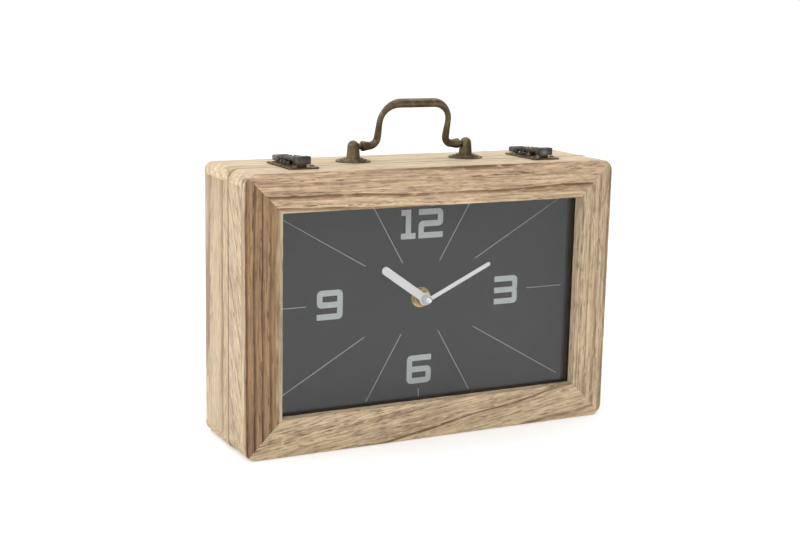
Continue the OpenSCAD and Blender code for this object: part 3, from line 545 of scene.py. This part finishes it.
def make_bail(sides=28):
    """The bail as one smooth casting, in the place of the CAD's node."""
    half = bail_line()
    line = [(-x, z, r) for x, z, r in reversed(half[1:])] + half
    bm = bmesh.new()
    rings = []
    for i, (x, z, r) in enumerate(line):
        before, after = line[max(i - 1, 0)], line[min(i + 1, len(line) - 1)]
        along = Vector((after[0] - before[0], 0, after[1] - before[1])).normalized()
        side = Vector((0, 1, 0))
        up = along.cross(side)
        rings.append([bm.verts.new(Vector((x, 0, z)) + r * (math.cos(a) * side + math.sin(a) * up))
                      for a in (2 * math.pi * k / sides for k in range(sides))])
    for low, high in zip(rings, rings[1:]):
        for k in range(sides):
            bm.faces.new((low[k], low[(k + 1) % sides], high[(k + 1) % sides], high[k]))
    bm.faces.new(rings[0])
    bm.faces.new(rings[-1])
    pivot = next(Vector(j["pos_m"]) for j in frame["joints"] if j["child"] == BODY_OF["handle_bail"])
    lean = Matrix.Rotation(math.radians(BAIL["lean"]), 4, "X")
    bm.transform(Matrix.Translation(pivot) @ lean @ Matrix.Scale(MM, 4))
    return as_piece(bm, "handle_bail_cast", "handle_bail", smooth_angle=60)


make_bail()


# ---------------------------------------------------------------- screw slots

SLOT_TURN, SLOT_STEP = 37, 71   # degrees of the first slot, and from one screw to the next


def islands(bm):
    """Lowest and highest corner of each separate solid in the mesh."""
    seen, found = set(), []
    for start in bm.verts:
        if start in seen:
            continue
        group, queue = [], [start]
        seen.add(start)
        while queue:
            v = queue.pop()
            group.append(v.co)
            for e in v.link_edges:
                w = e.other_vert(v)
                if w not in seen:
                    seen.add(w)
                    queue.append(w)
        found.append((Vector(min(c[i] for c in group) for i in range(3)),
                      Vector(max(c[i] for c in group) for i in range(3))))
    return found


def slotted(node, axis, sign, width=0.55 * MM, depth=0.5 * MM):
    """Cuts a straight slot across every screw head; the head is at the end of axis that sign names."""
    bm = solid_copy(node)
    screws = islands(bm)
    obj = as_piece(bm, node + "_slotted", node, smooth_angle=35)
    cut = bmesh.new()
    for i, (low, high) in enumerate(screws):
        middle = (low + high) / 2
        middle[axis] = high[axis] if sign > 0 else low[axis]
        across = (high - low)[(axis + 1) % 3]
        size = Matrix.Diagonal((1.4 * across, width, 2 * depth, 1))
        turn = Matrix.Rotation(math.radians(SLOT_TURN + SLOT_STEP * i), 4, "Z")
        stand = Matrix.Identity(4) if axis == 2 else Matrix.Rotation(math.radians(90), 4, "X")
        bmesh.ops.create_cube(cut, size=1, matrix=Matrix.Translation(middle) @ stand @ turn @ size)
    mesh = bpy.data.meshes.new(node + "_cutter")
    cut.to_mesh(mesh)
    cut.free()
    cutter = bpy.data.objects.new(node + "_cutter", mesh)
    SCENE.collection.objects.link(cutter)
    boolean = obj.modifiers.new("slot", "BOOLEAN")
    boolean.operation, boolean.object, boolean.solver = "DIFFERENCE", cutter, "EXACT"
    bpy.context.view_layer.update()
    made = bpy.data.meshes.new_from_object(obj.evaluated_get(bpy.context.evaluated_depsgraph_get()))
    obj.modifiers.clear()
    obj.data = made
    bpy.data.objects.remove(cutter)
    made.shade_smooth()
    made.set_sharp_from_angle(angle=math.radians(35))


slotted("latch_screws_front", 2, 1)
slotted("latch_screws_back", 2, 1)
slotted("hinge_screws_front", 2, -1)
slotted("hinge_screws_back", 2, -1)
slotted("dial_screws", 1, 1, width=0.8 * MM)


# ---------------------------------------------------------------- stage, lamps and camera

FLOOR_Z = -0.0002   # just under the case, so that the floor and the underside don't share a plane
FLOOR_HALF = 6
FLOOR_GREY, FLOOR_GLOW = 0.94, 0.16
CAMERA_AZIMUTH, CAMERA_ELEVATION, CAMERA_ROLL = -27.0938, 10.9813, 1.1985
CAMERA_OFFSET = Vector((-0.0221, 0.0219, 0.8144))
CAMERA_LENS = 62.49

# The studio's darker side: where it lies, how dark it is, and the cosines where it begins and is full
DARK_SIDE = Vector((0.60, -0.78, 0.16))
DARK_LEVEL = 0.30
DARK_BEGINS, DARK_FULL = 0.68, 0.96

# Every lamp looks at LAMP_TARGET. Its place, its width and height in metres, and its watts
LAMP_TARGET = Vector((0, 0, 0.08))
LAMPS = {
    "lamp_front": ((-0.35, -1.15, 0.85), (0.9, 0.9), 2),
    "lamp_left": ((-1.1, 0.05, 0.75), (0.8, 0.8), 4.5),
    "lamp_top": ((0.1, 0.15, 1.2), (1.1, 1.1), 3.5),
}


def camera_axes(azimuth, elevation, roll):
    """Right, up and back of a camera that looks at the clock from that side."""
    az, el, ro = (math.radians(v) for v in (azimuth, elevation, roll))
    back = Vector((math.sin(az) * math.cos(el), -math.cos(az) * math.cos(el), math.sin(el)))
    right = Vector((0, 0, 1)).cross(back).normalized()
    up = back.cross(right)
    return (math.cos(ro) * right + math.sin(ro) * up, math.cos(ro) * up - math.sin(ro) * right, back)


def make_camera():
    right, up, back = camera_axes(CAMERA_AZIMUTH, CAMERA_ELEVATION, CAMERA_ROLL)
    target = Vector((0, CASE_LOW.y, CASE_TOP / 2))
    camera = bpy.data.objects.new("camera", bpy.data.cameras.new("camera"))
    SCENE.collection.objects.link(camera)
    axes = Matrix((right, up, back)).transposed()
    place = target + axes @ CAMERA_OFFSET
    camera.matrix_world = Matrix.Translation(place) @ axes.to_4x4()
    camera.data.lens = CAMERA_LENS
    camera.data.sensor_width = 36
    camera.data.clip_start = 0.01
    SCENE.camera = camera


def make_lamp(name, place, size, power):
    lamp = bpy.data.objects.new(name, bpy.data.lights.new(name, "AREA"))
    lamp.data.shape = "RECTANGLE"
    lamp.data.size, lamp.data.size_y = size
    lamp.data.energy = power
    lamp.location = place
    lamp.rotation_euler = (LAMP_TARGET - Vector(place)).to_track_quat("-Z", "Y").to_euler()
    SCENE.collection.objects.link(lamp)


def make_stage():
    bm = bmesh.new()
    bmesh.ops.create_grid(bm, x_segments=1, y_segments=1, size=FLOOR_HALF)
    mesh = bpy.data.meshes.new("floor")
    bm.to_mesh(mesh)
    bm.free()
    floor = bpy.data.objects.new("floor", mesh)
    floor.location.z = FLOOR_Z
    SCENE.collection.objects.link(floor)
    t = Tree("floor_paper")
    paper = t.principled(Base_Color=(FLOOR_GREY,) * 3, Roughness=0.9, Specular_IOR_Level=0.1,
                         Emission_Color=(1, 1, 1), Emission_Strength=FLOOR_GLOW)
    paint(floor, t.finish(paper))
    make_world()


def make_world():
    """A studio that is white to the camera, but reflects and lights with a darker side at the front right."""
    world = bpy.data.worlds.new("studio")
    SCENE.world = world
    world.use_nodes = True
    nodes, links = world.node_tree.nodes, world.node_tree.links
    sky = nodes["Background"]
    sky.inputs["Color"].default_value = (1, 1, 1, 1)
    where = nodes.new("ShaderNodeTexCoord")
    towards = nodes.new("ShaderNodeVectorMath")
    towards.operation = "DOT_PRODUCT"
    towards.inputs[1].default_value = DARK_SIDE.normalized()
    level = nodes.new("ShaderNodeMapRange")
    level.interpolation_type = "SMOOTHSTEP"
    for name, value in (("From Min", DARK_BEGINS), ("From Max", DARK_FULL),
                        ("To Min", 1.0), ("To Max", DARK_LEVEL)):
        level.inputs[name].default_value = value
    seen = nodes.new("ShaderNodeLightPath")
    either = nodes.new("ShaderNodeMath")
    either.operation = "MAXIMUM"
    links.new(where.outputs["Generated"], towards.inputs[0])
    links.new(towards.outputs["Value"], level.inputs["Value"])
    links.new(level.outputs[0], either.inputs[0])
    links.new(seen.outputs["Is Camera Ray"], either.inputs[1])
    links.new(either.outputs[0], sky.inputs["Strength"])


make_camera()
make_stage()
for name, values in LAMPS.items():
    make_lamp(name, *values)
SCENE.view_settings.view_transform = "Standard"
